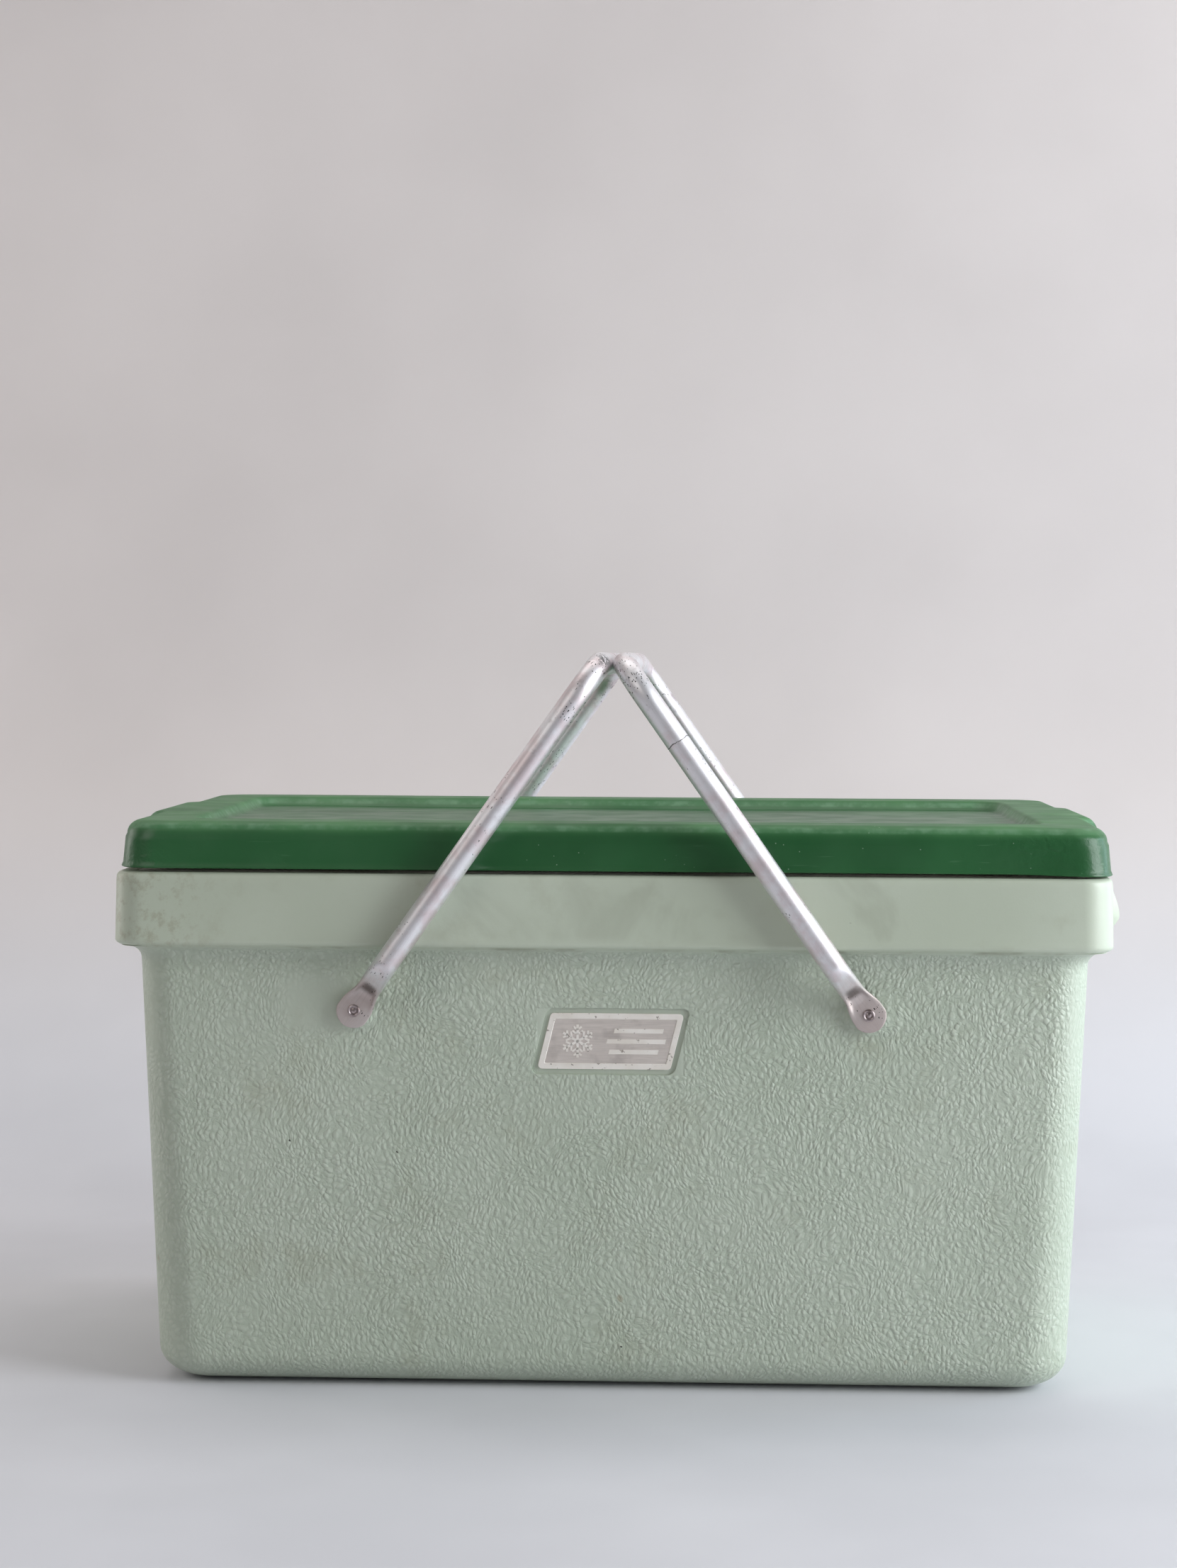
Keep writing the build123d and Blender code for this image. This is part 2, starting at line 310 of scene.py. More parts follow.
def shade_by_angle(obj, degrees):
    """Smooth shading that keeps edges sharper than the angle crisp."""
    limit = math.radians(degrees)
    bm = bmesh.new()
    bm.from_mesh(obj.data)
    for edge in bm.edges:
        edge.smooth = len(edge.link_faces) == 2 and edge.calc_face_angle(0) < limit
    bm.to_mesh(obj.data)
    bm.free()


def cut(obj, cutter):
    """Cut a cutter object's shape out of a piece, and remove the cutter."""
    modifier = obj.modifiers.new("cut", "BOOLEAN")
    modifier.operation = "DIFFERENCE"
    modifier.solver = "EXACT"
    modifier.object = cutter
    bpy.context.view_layer.update()
    result = bpy.data.meshes.new_from_object(obj.evaluated_get(bpy.context.evaluated_depsgraph_get()))
    obj.modifiers.clear()
    obj.data = result
    bpy.data.objects.remove(cutter)


def part(obj, body, slot, *nodes):
    """Attach a piece to the body it rides on and hide the CAD nodes it stands for; the finish slot is not
    used.
    """
    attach(obj, body)
    if nodes:
        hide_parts(*nodes)


def smoothstep(low, high, value):
    t = min(max((value - low) / (high - low), 0.0), 1.0)
    return t * t * (3 - 2 * t)


def lerp(a, b, t):
    return a + (b - a) * t


def rise(angle):
    return 1 - math.cos(angle)


def inward(angle):
    return 1 - math.sin(angle)


def arc(steps, start=0.0, end=90.0):
    """Angles of a quarter round or less, in radians."""
    return [math.radians(lerp(start, end, i / steps)) for i in range(steps + 1)]


# ---------------------------------------------------------------- body shell
END_STATIONS = [0, 10, 20, 30, 38, 42, 44, 46, 48, 50, 52, 54, 56, 58, 62, 70, 82, 96, 110, 124, 136]
INSIDE_RINGS = 12  # how many rings at the end of the body's profile lie inside, where walls stay true
FRONT_STATIONS = ([0, 8, 16, 24, 32, 40, 48, 58, 70, 84, 98, 112, 120]
                  + [123 + 1.6 * i for i in range(17)] + [152, 160, 172, 184, 196, 208, 220, 231])


def shell_columns():
    return ring_columns(COLLAR_W / 2, COLLAR_D / 2, COLLAR_R,
                        mirrored(FRONT_STATIONS), mirrored(END_STATIONS), 14)


def lip_bulge(point, z):
    """Outward swelling of the carrying lip on each end of the collar, widest low down."""
    across = 1 - smoothstep(TAB_HALF - 10, TAB_HALF + 0.5, abs(point.y))
    low = lerp(11.5, LIP_OUT, smoothstep(COLLAR_Z0 + 0.5, LIP_Z, z))
    high = lerp(LIP_OUT, 9.5, smoothstep(LIP_Z, COLLAR_Z1, z))
    return across * (low if z < LIP_Z else high)


def body_profile():
    """(inset, corner radius, height, share of the lip bulge) up the outside and down the inside."""
    def body_inset(z):
        return OVERHANG + (COLLAR_Z0 - z) * DRAFT

    def corner(z):
        return lerp(BODY_R_BASE, BODY_R_TOP, z / COLLAR_Z0)

    foot = BASE_R + 14
    rings = [(body_inset(0) + foot + 2, 8, 0, 0), (body_inset(0) + foot + 0.8, 9, 0, 0),
             (body_inset(0) + foot, 10, 0.5, 0), (body_inset(0) + foot - 0.6, 10.5, FOOT_LIFT, 0)]
    for angle in arc(10):
        inset = BASE_R * inward(angle)
        z = FOOT_LIFT + (BASE_RISE - FOOT_LIFT) * rise(angle)
        rings.append((body_inset(z) + inset, corner(z) - inset * 0.9, z, 0))
    heights = [24, 32, 44, 58, 72, 86, 100, 114, 128, 142, 156, 170, 182] + \
        [189 + 1.7 * i for i in range(18)] + [223, 228]
    rings += [(body_inset(z), corner(z), z, 0) for z in heights]
    flare = 7.6
    for angle in arc(7, 8, 84):
        out = flare * rise(angle)
        z = COLLAR_Z0 - 0.9 - flare * inward(angle)
        rings.append((body_inset(z) - out, corner(z) - out * 0.3, z, 0))
    rings.append((OVERHANG - flare - 0.1, COLLAR_R - 3.4, COLLAR_Z0 - 0.5, 0))
    edge = 3.0
    for angle in arc(6):
        share = math.sin(angle) ** 0.8
        rings.append((edge * inward(angle), COLLAR_R, COLLAR_Z0 + edge * rise(angle),
                      share))
    for z in (242.5, 244.5, 246.5, 248.5, 250.5, 252.5, 255, 258, 261, 264, 267, 270, 272.5):
        rings.append(((z - COLLAR_Z0) * COLLAR_DRAFT, COLLAR_R, z, 1))
    edge = 3.2
    top_inset = (COLLAR_Z1 - COLLAR_Z0) * COLLAR_DRAFT
    for angle in arc(6)[1:]:
        inset = top_inset + edge * rise(angle)
        rings.append((inset, COLLAR_R, COLLAR_Z1 - edge * inward(angle), 1))
    rings += [(MOUTH_INSET - 0.4, 10, COLLAR_Z1, 0), (MOUTH_INSET, 10, COLLAR_Z1 - 0.4, 0),
              (MOUTH_INSET, 10, COLLAR_Z1 - FLANGE, 0), (WALL + 0.6, COLLAR_R - WALL, COLLAR_Z1 - FLANGE, 0),
              (WALL, COLLAR_R - WALL, COLLAR_Z0 + WALL, 0),
              (body_inset(COLLAR_Z0) + WALL, BODY_R_TOP - WALL, COLLAR_Z0 + WALL, 0),
              (body_inset(BASE_R) + WALL, BODY_R_BASE - WALL, BASE_R, 0)]
    for angle in reversed(arc(5)):
        inset = (BASE_R - WALL) * inward(angle)
        z = WALL + (BASE_R - WALL) * rise(angle)
        rings.append((body_inset(z) + WALL + inset, BODY_R_BASE - WALL - inset * 0.9, z, 0))
    return rings


def wall_wave(point, z, seed):
    """Slow unevenness of a large moulded wall, in millimetres."""
    return noise.noise(Vector((point.x / 95, point.y / 95, z / 70 + seed))) * 0.55


def boss_pull(point, z):
    """How far a wall point belongs to the flat pad round a rivet."""
    away = math.hypot(abs(point.x) - PIVOT_X, z - PIVOT_Z)
    return 1 - smoothstep(BOSS_R, BOSS_R + 3.5, away)


def make_body_shell(materials):
    columns = shell_columns()
    profile = body_profile()
    outside = len(profile) - INSIDE_RINGS
    rings = []
    for number, (inset, radius, z, bulge) in enumerate(profile):
        ring = rounded_outline(COLLAR_W / 2 - inset, COLLAR_D / 2 - inset, radius, columns)
        for point, (side, _) in zip(ring, columns):
            point.z = z
            if number >= outside:
                continue
            on_wall = smoothstep(14, 40, z) * (1 - smoothstep(266, 274, z))
            wave = wall_wave(point, z, 3.0) * on_wall
            if side in ("front", "back"):
                sign = math.copysign(1, point.y)
                point.y += sign * wave
                if z < COLLAR_Z0 - 10:
                    point.y = lerp(point.y, sign * BOSS_Y, boss_pull(point, z))
            elif side in ("left", "right"):
                sign = math.copysign(1, point.x)
                point.x += sign * (wave + lip_bulge(point, z) * bulge)
        rings.append(ring)
    shell = to_object(skin(rings), "body_shell", materials)
    cut(shell, badge_prism("recess_cutter", RECESS_MARGIN, 4.0, -RECESS_DEPTH, 6))
    soften_recess(shell)
    shade_by_angle(shell, 38)
    return shell


def wall_matrix():
    """Places a plate drawn in XY on the sloping front wall, at the badge's middle."""
    shrink = OVERHANG + (COLLAR_Z0 - BADGE_Z) * DRAFT
    tilt = math.atan(DRAFT)
    return Matrix.Translation((0, -(COLLAR_D / 2 - shrink) * MM, BADGE_Z * MM)) @ \
        Euler((math.pi / 2 + tilt, 0, 0)).to_matrix().to_4x4()


def badge_corners(margin):
    """Corners of the slanting plate, grown or shrunk by a margin."""
    half_w, half_h = BADGE_W / 2 + margin, BADGE_H / 2 + margin
    shift = BADGE_SLANT / 2 * half_h / (BADGE_H / 2)
    return [(-half_w - shift, -half_h), (half_w - shift, -half_h),
            (half_w + shift, half_h), (-half_w + shift, half_h)]


def badge_prism(name, margin, radius, low, high):
    """Solid over the badge's outline, seated on the front wall."""
    bm = bmesh.new()
    bm.faces.new([bm.verts.new((x * MM, y * MM, low * MM)) for x, y in badge_corners(margin)])
    bmesh.ops.bevel(bm, geom=bm.verts[:], offset=radius * MM, offset_type="OFFSET", segments=6,
                    profile=0.5, affect="VERTICES", material=-1)
    made = bmesh.ops.extrude_face_region(bm, geom=bm.faces[:])["geom"]
    bmesh.ops.translate(bm, verts=only_verts(made), vec=(0, 0, (high - low) * MM))
    bmesh.ops.recalc_face_normals(bm, faces=bm.faces)
    bm.transform(wall_matrix())
    return to_object(bm, name, [])


def soften_recess(shell):
    """Round the lip of the badge recess, as a mould does."""
    inverse = wall_matrix().inverted()
    bm = bmesh.new()
    bm.from_mesh(shell.data)
    lip = []
    for edge in bm.edges:
        if len(edge.link_faces) != 2 or edge.calc_face_angle(0) < math.radians(50):
            continue
        middle = inverse @ ((edge.verts[0].co + edge.verts[1].co) / 2)
        near = abs(middle.x) < (BADGE_W / 2 + 9) * MM and abs(middle.y) < (BADGE_H / 2 + 4) * MM
        if near and abs(middle.z) < 0.8 * MM:
            lip.append(edge)
    bmesh.ops.bevel(bm, geom=lip, offset=0.55 * MM, offset_type="OFFSET", segments=3, profile=0.5,
                    affect="EDGES", material=-1, clamp_overlap=True)
    bm.to_mesh(shell.data)
    bm.free()
    shade_faces(shell.data)


# ---------------------------------------------------------------- liner
def make_liner(materials):
    columns = ring_columns(COLLAR_W / 2 - MOUTH_INSET, COLLAR_D / 2 - MOUTH_INSET, 10,
                           mirrored(list(range(0, 220, 20))), mirrored(list(range(0, 130, 20))), 12)
    rings = []

    def add(half_w, half_d, radius, z):
        rings.append(level_ring(half_w, half_d, radius, columns, z))

    def cup(z, grow, extra=0.0):
        shrink = (COLLAR_Z1 - z) * DRAFT - grow + extra
        add(LINER_W / 2 - shrink, LINER_D / 2 - shrink, LINER_R + grow - extra * 0.8, z)

    outer_floor = LINER_FLOOR - LINER_WALL
    for angle in arc(6):
        cup(outer_floor + 14 * rise(angle), LINER_WALL, 14 * inward(angle))
    cup(150, LINER_WALL)
    cup(COLLAR_Z1 - FLANGE, LINER_WALL)
    flange_w, flange_d = COLLAR_W / 2 - MOUTH_INSET - 0.3, COLLAR_D / 2 - MOUTH_INSET - 0.3
    for inset, radius, z in ((0, 9.7, COLLAR_Z1 - FLANGE), (0, 9.7, COLLAR_Z1 - 0.7), (0.7, 9.2, COLLAR_Z1)):
        add(flange_w - inset, flange_d - inset, radius, z)
    for angle in arc(5):
        cup(COLLAR_Z1 - 3 * rise(angle), 3 * inward(angle))
    for z in (240, 200, 150, 100, 60):
        cup(z, 0)
    for angle in reversed(arc(6)):
        cup(LINER_FLOOR + 11.5 * rise(angle), 0, 11.5 * inward(angle))
    liner = to_object(skin(rings), "liner_pan", materials)
    shade_by_angle(liner, 50)
    return liner


# ---------------------------------------------------------------- lid
def lid_columns():
    return ring_columns(COLLAR_W / 2 - LID_INSET, COLLAR_D / 2 - LID_INSET, LID_R,
                        mirrored(list(range(0, 244, 9))), mirrored(END_STATIONS), 14)


def tab_bulge(point, z):
    """Outward swelling of the finger tab on each end of the lid."""
    across = 1 - smoothstep(TAB_HALF - 9, TAB_HALF + 1, abs(point.y))
    return across * lerp(10.6, 5.6, smoothstep(LID_Z0 + 2, LID_Z1 + 1, z))


def lid_sag(x, y):
    """The large thin panel sinks a little in the middle and is never quite flat."""
    dish = (1 - (2 * x / COLLAR_W) ** 2) * (1 - (2 * y / COLLAR_D) ** 2)
    return -0.9 * max(dish, 0) + noise.noise(Vector((x / 120, y / 90, 7.0))) * 0.5


def corner_droop(x, y):
    """One front corner has set lower than the rest of the skirt."""
    return -1.3 * smoothstep(205, 262, x) * smoothstep(60, 160, -y)


def make_lid_shell(materials):
    columns = lid_columns()
    rings = []

    def add(inset, radius, z, sag=0.0, bulge=False, flash=0.0):
        ring = rounded_outline(COLLAR_W / 2 - LID_INSET - inset, COLLAR_D / 2 - LID_INSET - inset,
                               radius, columns)
        for point, (side, _) in zip(ring, columns):
            wave = noise.noise(Vector((point.x / 80, point.y / 80, 11.0))) * 0.45
            ragged = flash * (0.6 + 0.8 * noise.noise(Vector((point.x / 9, point.y / 9, z))))
            if side in ("left", "right"):
                sign = math.copysign(1, point.x)
                point.x += sign * (wave + ragged + (tab_bulge(point, z) if bulge else 0))
            elif side in ("front", "back"):
                point.y += math.copysign(1, point.y) * (wave + ragged)
            point.z = z + sag * lid_sag(point.x, point.y) + corner_droop(point.x, point.y)
        rings.append(ring)

    def inset_at(z):
        return (z - LID_Z0) * LID_DRAFT

    panel_z = LID_Z1 - PANEL_SINK
    panel_edge = RIM_W + PANEL_SLOPE
    for inset in (140, 120, 100, 80, 64, 52, 45, 41):
        add(inset, max(12 - (inset - panel_edge) * 0.1, 3), panel_z, sag=1.0)
    add(panel_edge + 0.8, 12, panel_z + 0.05, sag=1.0)
    add(panel_edge - 0.4, 12.3, panel_z + 0.5, sag=0.9)
    add(RIM_W + 1.3, 16, LID_Z1 - 0.9, sag=0.3)
    add(RIM_W + 0.3, 16.6, LID_Z1 - 0.25, sag=0.3)
    add(RIM_W - 1.2, 17, LID_Z1, sag=0.3)
    for inset, height in ((28, 0.2), (22, 0.35), (16, 0.3)):
        add(inset, 17.5, LID_Z1 + height - 0.3, sag=0.3)
    top_inset = inset_at(LID_Z1)
    for angle in reversed(arc(8)):
        inset = top_inset + LID_EDGE_R * rise(angle)
        z = LID_Z1 - LID_EDGE_R * inward(angle)
        add(inset, LID_R, z, bulge=True, sag=0.2 * math.sin(angle))
    for z in (295, 293, 291, 289, 287, 285, 283, 281.6):
        add(inset_at(z), LID_R, z, bulge=True)
    add(-0.25, LID_R, LID_Z0 + 1.5, bulge=True, flash=0.1)
    add(-0.5, LID_R, LID_Z0 + 0.8, bulge=True, flash=0.35)
    add(-0.45, LID_R, LID_Z0 + 0.35, bulge=True, flash=0.35)
    add(0.1, LID_R, LID_Z0, bulge=True)
    add(WALL, LID_R - WALL, LID_Z0)
    under = LID_Z1 - WALL
    add(inset_at(under) + WALL, LID_R - WALL, under)
    add(RIM_W - 3, 14, under)
    add(RIM_W + 2.5, 10, panel_z - WALL, sag=0.3)
    for inset in (60, 100, 140):
        add(inset, 5, panel_z - WALL, sag=1.0)
    bm = skin(rings)
    bmesh.ops.translate(bm, verts=bm.verts, vec=(LID_SEAT_X * MM, 0, 0))
    lid = to_object(bm, "lid_cover", materials)
    shade_by_angle(lid, 50)
    return lid


def make_lid_pan(materials):
    columns = ring_columns(COLLAR_W / 2 - LID_INSET - WALL, COLLAR_D / 2 - LID_INSET - WALL, LID_R - WALL,
                           mirrored(list(range(0, 240, 20))), mirrored(list(range(0, 140, 20))), 12)
    rings = []

    def add(half_w, half_d, radius, z):
        ring = level_ring(half_w, half_d, radius, columns, z)
        for point in ring:
            point.z += corner_droop(point.x, point.y) * smoothstep(LID_Z0 - 1, LID_Z0, z)
        rings.append(ring)

    def plug(z, extra=0.0):
        shrink = PLUG_GAP + (COLLAR_Z1 - z) * math.tan(math.radians(5)) + extra
        add(LINER_W / 2 - shrink, LINER_D / 2 - shrink, max(LINER_R - PLUG_GAP - extra * 0.8, 6), z)

    bottom = COLLAR_Z1 - PLUG_DEPTH
    plug(bottom, 70)
    plug(bottom, 30)
    for angle in arc(6):
        plug(bottom + 8 * rise(angle), 8 * inward(angle))
    plug(COLLAR_Z1 + SEAT_GAP)
    bead_w, bead_d = LINER_W / 2 + 8, LINER_D / 2 + 8
    add(bead_w - 0.6, bead_d - 0.6, LINER_R + 7, COLLAR_Z1 + SEAT_GAP)
    add(bead_w + 0.3, bead_d + 0.3, LINER_R + 8, COLLAR_Z1 + SEAT_GAP + 0.5)
    add(bead_w + 2, bead_d + 2, LINER_R + 9, LID_Z0)
    edge_w = COLLAR_W / 2 - LID_INSET - WALL - 0.05
    edge_d = COLLAR_D / 2 - LID_INSET - WALL - 0.05
    add(edge_w, edge_d, LID_R - WALL, LID_Z0)
    add(edge_w - 0.2, edge_d - 0.2, LID_R - WALL, LID_Z0 + LINER_WALL)
    plug(LID_Z0 + LINER_WALL, LINER_WALL)
    plug(bottom + 8, LINER_WALL)
    plug(bottom + LINER_WALL, LINER_WALL + 6)
    plug(bottom + LINER_WALL, 70)
    bm = skin(rings)
    bmesh.ops.translate(bm, verts=bm.verts, vec=(LID_SEAT_X * MM, 0, 0))
    pan = to_object(bm, "lid_pan_tray", materials)
    shade_by_angle(pan, 50)
    return pan


# ---------------------------------------------------------------- handles
TUBE_STEPS = 48


def handle_stations():
    """(distance up the leg, y, z, tangent) along the front leg, the bend and half of the grip."""
    rows = []
    foot = [step - TAB_R for step in (0.02, 0.12, 0.4, 0.9)] + list(range(-8, 5))
    neck = [TAB_TOP + 0.7 * i for i in range(41)]
    leg = [34 + (LEG - BEND_R - 34) * i / 26 for i in range(27)]
    for up in foot + neck + leg:
        ease = smoothstep(TAB_TOP + 2, ROUND_FROM, up)
        rows.append((up, -lerp(TAB_BACK_Y, TUBE_Y - TUBE_R, ease), up, Vector((0, 0, 1))))
    for angle in arc(14)[1:]:
        centre_y = -TUBE_Y + BEND_R
        y = centre_y - (BEND_R + TUBE_R) * math.cos(angle) + TUBE_R * math.cos(angle)
        z = LEG - BEND_R + BEND_R * math.sin(angle)
        along = LEG - BEND_R + BEND_R * angle
        rows.append((along, y, z, Vector((0, math.sin(angle), math.cos(angle)))))
    bend_end = LEG - BEND_R + BEND_R * math.pi / 2
    for i in range(1, 13):
        y = (-TUBE_Y + BEND_R) * (1 - i / 12)
        rows.append((bend_end + (TUBE_Y - BEND_R) * i / 12, y, LEG, Vector((0, 1, 0))))
    return rows


def leg_section(up, turn):
    """Width and outward height of the squeezed tube. Its back stays flat, and its front is pressed
    down at the foot, where a flat tongue runs up between two ridges to a steep pocket."""
    side = math.cos(turn)
    front = math.sin(turn)
    across = abs(side)
    crown = 0.5 * smoothstep(12.0, 18.5, up) + 0.5 * smoothstep(15.0, ROUND_FROM, up)
    ridge = smoothstep(2.0, 32.0, up) ** 0.85
    round_share = lerp(crown, ridge, smoothstep(0.28, 0.80, across))
    half_w = lerp(TAB_W / 2 + 0.3, TUBE_R, smoothstep(1.0, 15.0, up))
    if up < 0:
        half_w = min(half_w, math.sqrt(max(TAB_R ** 2 - up ** 2, 0.04)))
    flat_x = half_w * math.copysign(min(1.0, across ** 0.5 * 1.02), side)
    flat_h = TAB_T / 2 * (1 + math.copysign(abs(front) ** 0.35, front))
    round_x = half_w * side
    back_share = smoothstep(TAB_TOP, ROUND_FROM - 2, up)
    height = TUBE_R * (1 + front)
    if front < 0:
        return lerp(flat_x, round_x, back_share), lerp(flat_h, height, back_share)
    return lerp(flat_x, round_x, lerp(back_share, round_share, 0.6)), lerp(flat_h, height, round_share)


def make_handle(name, side, material):
    """One handle, built standing over its pivots, then leaned in on the side of -1 or 1."""
    half = handle_stations()
    rings, marks = [], []
    for up, y, z, tangent in half:
        ring = []
        for i in range(TUBE_STEPS):
            turn = 2 * math.pi * i / TUBE_STEPS
            if up <= ROUND_FROM + 0.5:
                x, height = leg_section(up, turn)
                ring.append(Vector((x, y - height, z)))
                continue
            centre = Vector((0, y - TUBE_R, z)) if tangent.y < 1e-6 else Vector((0, y, z))
            outward = Vector((0, -tangent.z, tangent.y))
            dent = 1 + 0.012 * noise.noise(Vector((math.cos(turn), math.sin(turn) + side * 5, up / 28)))
            ring.append(centre + (Vector((math.cos(turn), 0, 0)) + outward * math.sin(turn)) * TUBE_R * dent)
        rings.append(ring)
        marks.append(up)
    back = [[Vector((p.x, -p.y, p.z)) for p in ring] for ring in reversed(rings[:-1])]
    total = 2 * marks[-1]
    marks += [total - m for m in reversed(marks[:-1])]
    rings += back
    bm = skin(rings)
    level = bm.verts.layers.int["level"]
    column = bm.verts.layers.int["column"]
    along = bm.verts.layers.float.new("along")
    around = bm.verts.layers.float.new("around")
    for vert in bm.verts:
        distance = marks[vert[level]]
        vert[along] = min(distance, total - distance) * MM
        vert[around] = vert[column] / TUBE_STEPS
    place = Matrix.Translation((side * PIVOT_X * MM, 0, PIVOT_Z * MM)) @ \
        Matrix.Rotation(-side * LEAN, 4, "Y")
    bm.transform(place)
    handle = to_object(bm, name, [material])
    for sign in (-1, 1):
        cut(handle, rivet_hole(side, sign))
    shade_by_angle(handle, 58)
    return handle


def rivet_hole(side, sign):
    bm = bmesh.new()
    bmesh.ops.create_cone(bm, cap_ends=True, segments=32, radius1=2.45 * MM, radius2=2.45 * MM, depth=8 * MM)
    bm.transform(Matrix.Translation((side * PIVOT_X * MM, sign * (TAB_BACK_Y + 1) * MM, PIVOT_Z * MM))
                 @ Matrix.Rotation(math.pi / 2, 4, "X"))
    return to_object(bm, "rivet_hole_cutter", [])


# ---------------------------------------------------------------- rivets
RIVET_HEAD = [(0, 0.34), (0.7, 0.30), (1.25, 0.10), (1.55, -0.10), (1.75, -0.05), (2.0, 0.42),
              (2.3, 0.72), (2.7, 0.80), (3.05, 0.66), (3.26, 0.38), (HEAD_R, 0.0)]


def make_rivet(name, x, sign, material):
    """Turned head with a rolled ring, its shank, and the clinched end inside the wall."""
    face = TAB_BACK_Y + TAB_T + 0.05
    inner = 144.8
    profile = [(r, face + h) for r, h in RIVET_HEAD]
    profile += [(2.38, face), (2.38, inner), (HEAD_R, inner), (HEAD_R - 0.2, inner - 0.9),
                (HEAD_R - 0.8, inner - 1.2), (0, inner - 1.2)]
    bm = bmesh.new()
    verts = [bm.verts.new((r * MM, 0, h * MM)) for r, h in profile]
    edges = [bm.edges.new(pair) for pair in zip(verts, verts[1:])]
    bmesh.ops.spin(bm, geom=verts + edges, cent=(0, 0, 0), axis=(0, 0, 1), angle=2 * math.pi,
                   steps=36, use_merge=True)
    bmesh.ops.remove_doubles(bm, verts=bm.verts, dist=1e-6)
    bmesh.ops.recalc_face_normals(bm, faces=bm.faces)
    turn = Matrix.Rotation(-sign * math.pi / 2, 4, "X")
    bm.transform(Matrix.Translation((x * MM, 0, PIVOT_Z * MM)) @ turn)
    rivet = to_object(bm, name, [material])
    shade_by_angle(rivet, 40)
    return rivet


# ---------------------------------------------------------------- badge
def badge_outline(margin, radius, steps=6):
    """Rounded slanting outline of the badge, grown or shrunk by a margin, in millimetres."""
    corners = [Vector(corner) for corner in badge_corners(margin)]
    points = []
    for i, corner in enumerate(corners):
        back = (corners[i - 1] - corner).normalized()
        ahead = (corners[(i + 1) % 4] - corner).normalized()
        half_angle = back.angle(ahead) / 2
        centre = corner + (back + ahead).normalized() * radius / math.sin(half_angle)
        start = corner + back * radius / math.tan(half_angle) - centre
        end = corner + ahead * radius / math.tan(half_angle) - centre
        sweep = start.angle(end)
        for k in range(steps + 1):
            t = k / steps
            turned = start * math.sin((1 - t) * sweep) + end * math.sin(t * sweep)
            points.append(centre + turned / math.sin(sweep))
    return points


def make_badge(materials):
    """Pressed plate: painted border and a sunk brushed panel."""
    face = BADGE_LOW + BADGE_T
    bm = bmesh.new()
    rings = [[bm.verts.new((p.x * MM, p.y * MM, z * MM)) for p in badge_outline(margin, radius)]
             for margin, radius, z in ((0, 2.2, BADGE_LOW), (0, 2.2, face - 0.25), (-0.07, 2.13, face - 0.07),
                                       (-0.25, 1.95, face), (-2.9, 0.7, face), (-3.2, 0.6, face - 0.28))]
    for low, high in zip(rings, rings[1:]):
        for i in range(len(low)):
            j = (i + 1) % len(low)
            bm.faces.new((low[i], low[j], high[j], high[i]))
    bm.faces.new(rings[0][::-1])
    bm.faces.new(rings[-1]).material_index = 1
    bm.transform(wall_matrix())
    return to_object(bm, "badge", materials, smooth=False)


def make_badge_emblem(material):
    """Plain snow crystal and three slanting bars, raised a hair from the badge panel."""
    panel = BADGE_LOW + BADGE_T - 0.28
    bm = bmesh.new()

    def bar(length, width, centre, angle, slant=0.0):
        made = bmesh.ops.create_cube(bm, size=1.0)["verts"]
        place = Matrix.Translation((centre[0] * MM, centre[1] * MM, (panel + 0.06) * MM)) @ \
            Matrix.Rotation(angle, 4, "Z") @ \
            Matrix(((length * MM, slant * width * MM, 0, 0), (0, width * MM, 0, 0),
                    (0, 0, 0.2 * MM, 0), (0, 0, 0, 1)))
        bmesh.ops.transform(bm, matrix=place, verts=made)

    middle, arm = -17.5, 8.8
    for i in range(3):
        bar(2 * arm, 1.25, (middle, 0), math.pi / 3 * i + math.pi / 6)
    for i in range(6):
        direction = math.pi / 3 * i + math.pi / 6
        for reach, length in ((3.6, 3.4), (6.2, 2.6)):
            for lean in (-1, 1):
                turn = direction + lean * math.radians(55)
                bar(length, 0.95, (middle + reach * math.cos(direction) + length / 2 * math.cos(turn),
                                   reach * math.sin(direction) + length / 2 * math.sin(turn)), turn)
    slant = BADGE_SLANT / BADGE_H
    for row, length in ((-1, 26), (0, 31), (1, 26)):
        bar(length, 2.4, (13.5 + row * 5.6 * slant, row * 5.6), 0, slant)
    bm.transform(wall_matrix())
    return to_object(bm, "badge_emblem", [material], smooth=False)


# ---------------------------------------------------------------- finishes
def near(f, value, centre, inside, outside):
    """1 within a distance of a place along one axis, falling to 0."""
    away = f.math("ABSOLUTE", f.math("SUBTRACT", value, centre))
    return f.ramp(away, inside, outside, 1.0, 0.0)


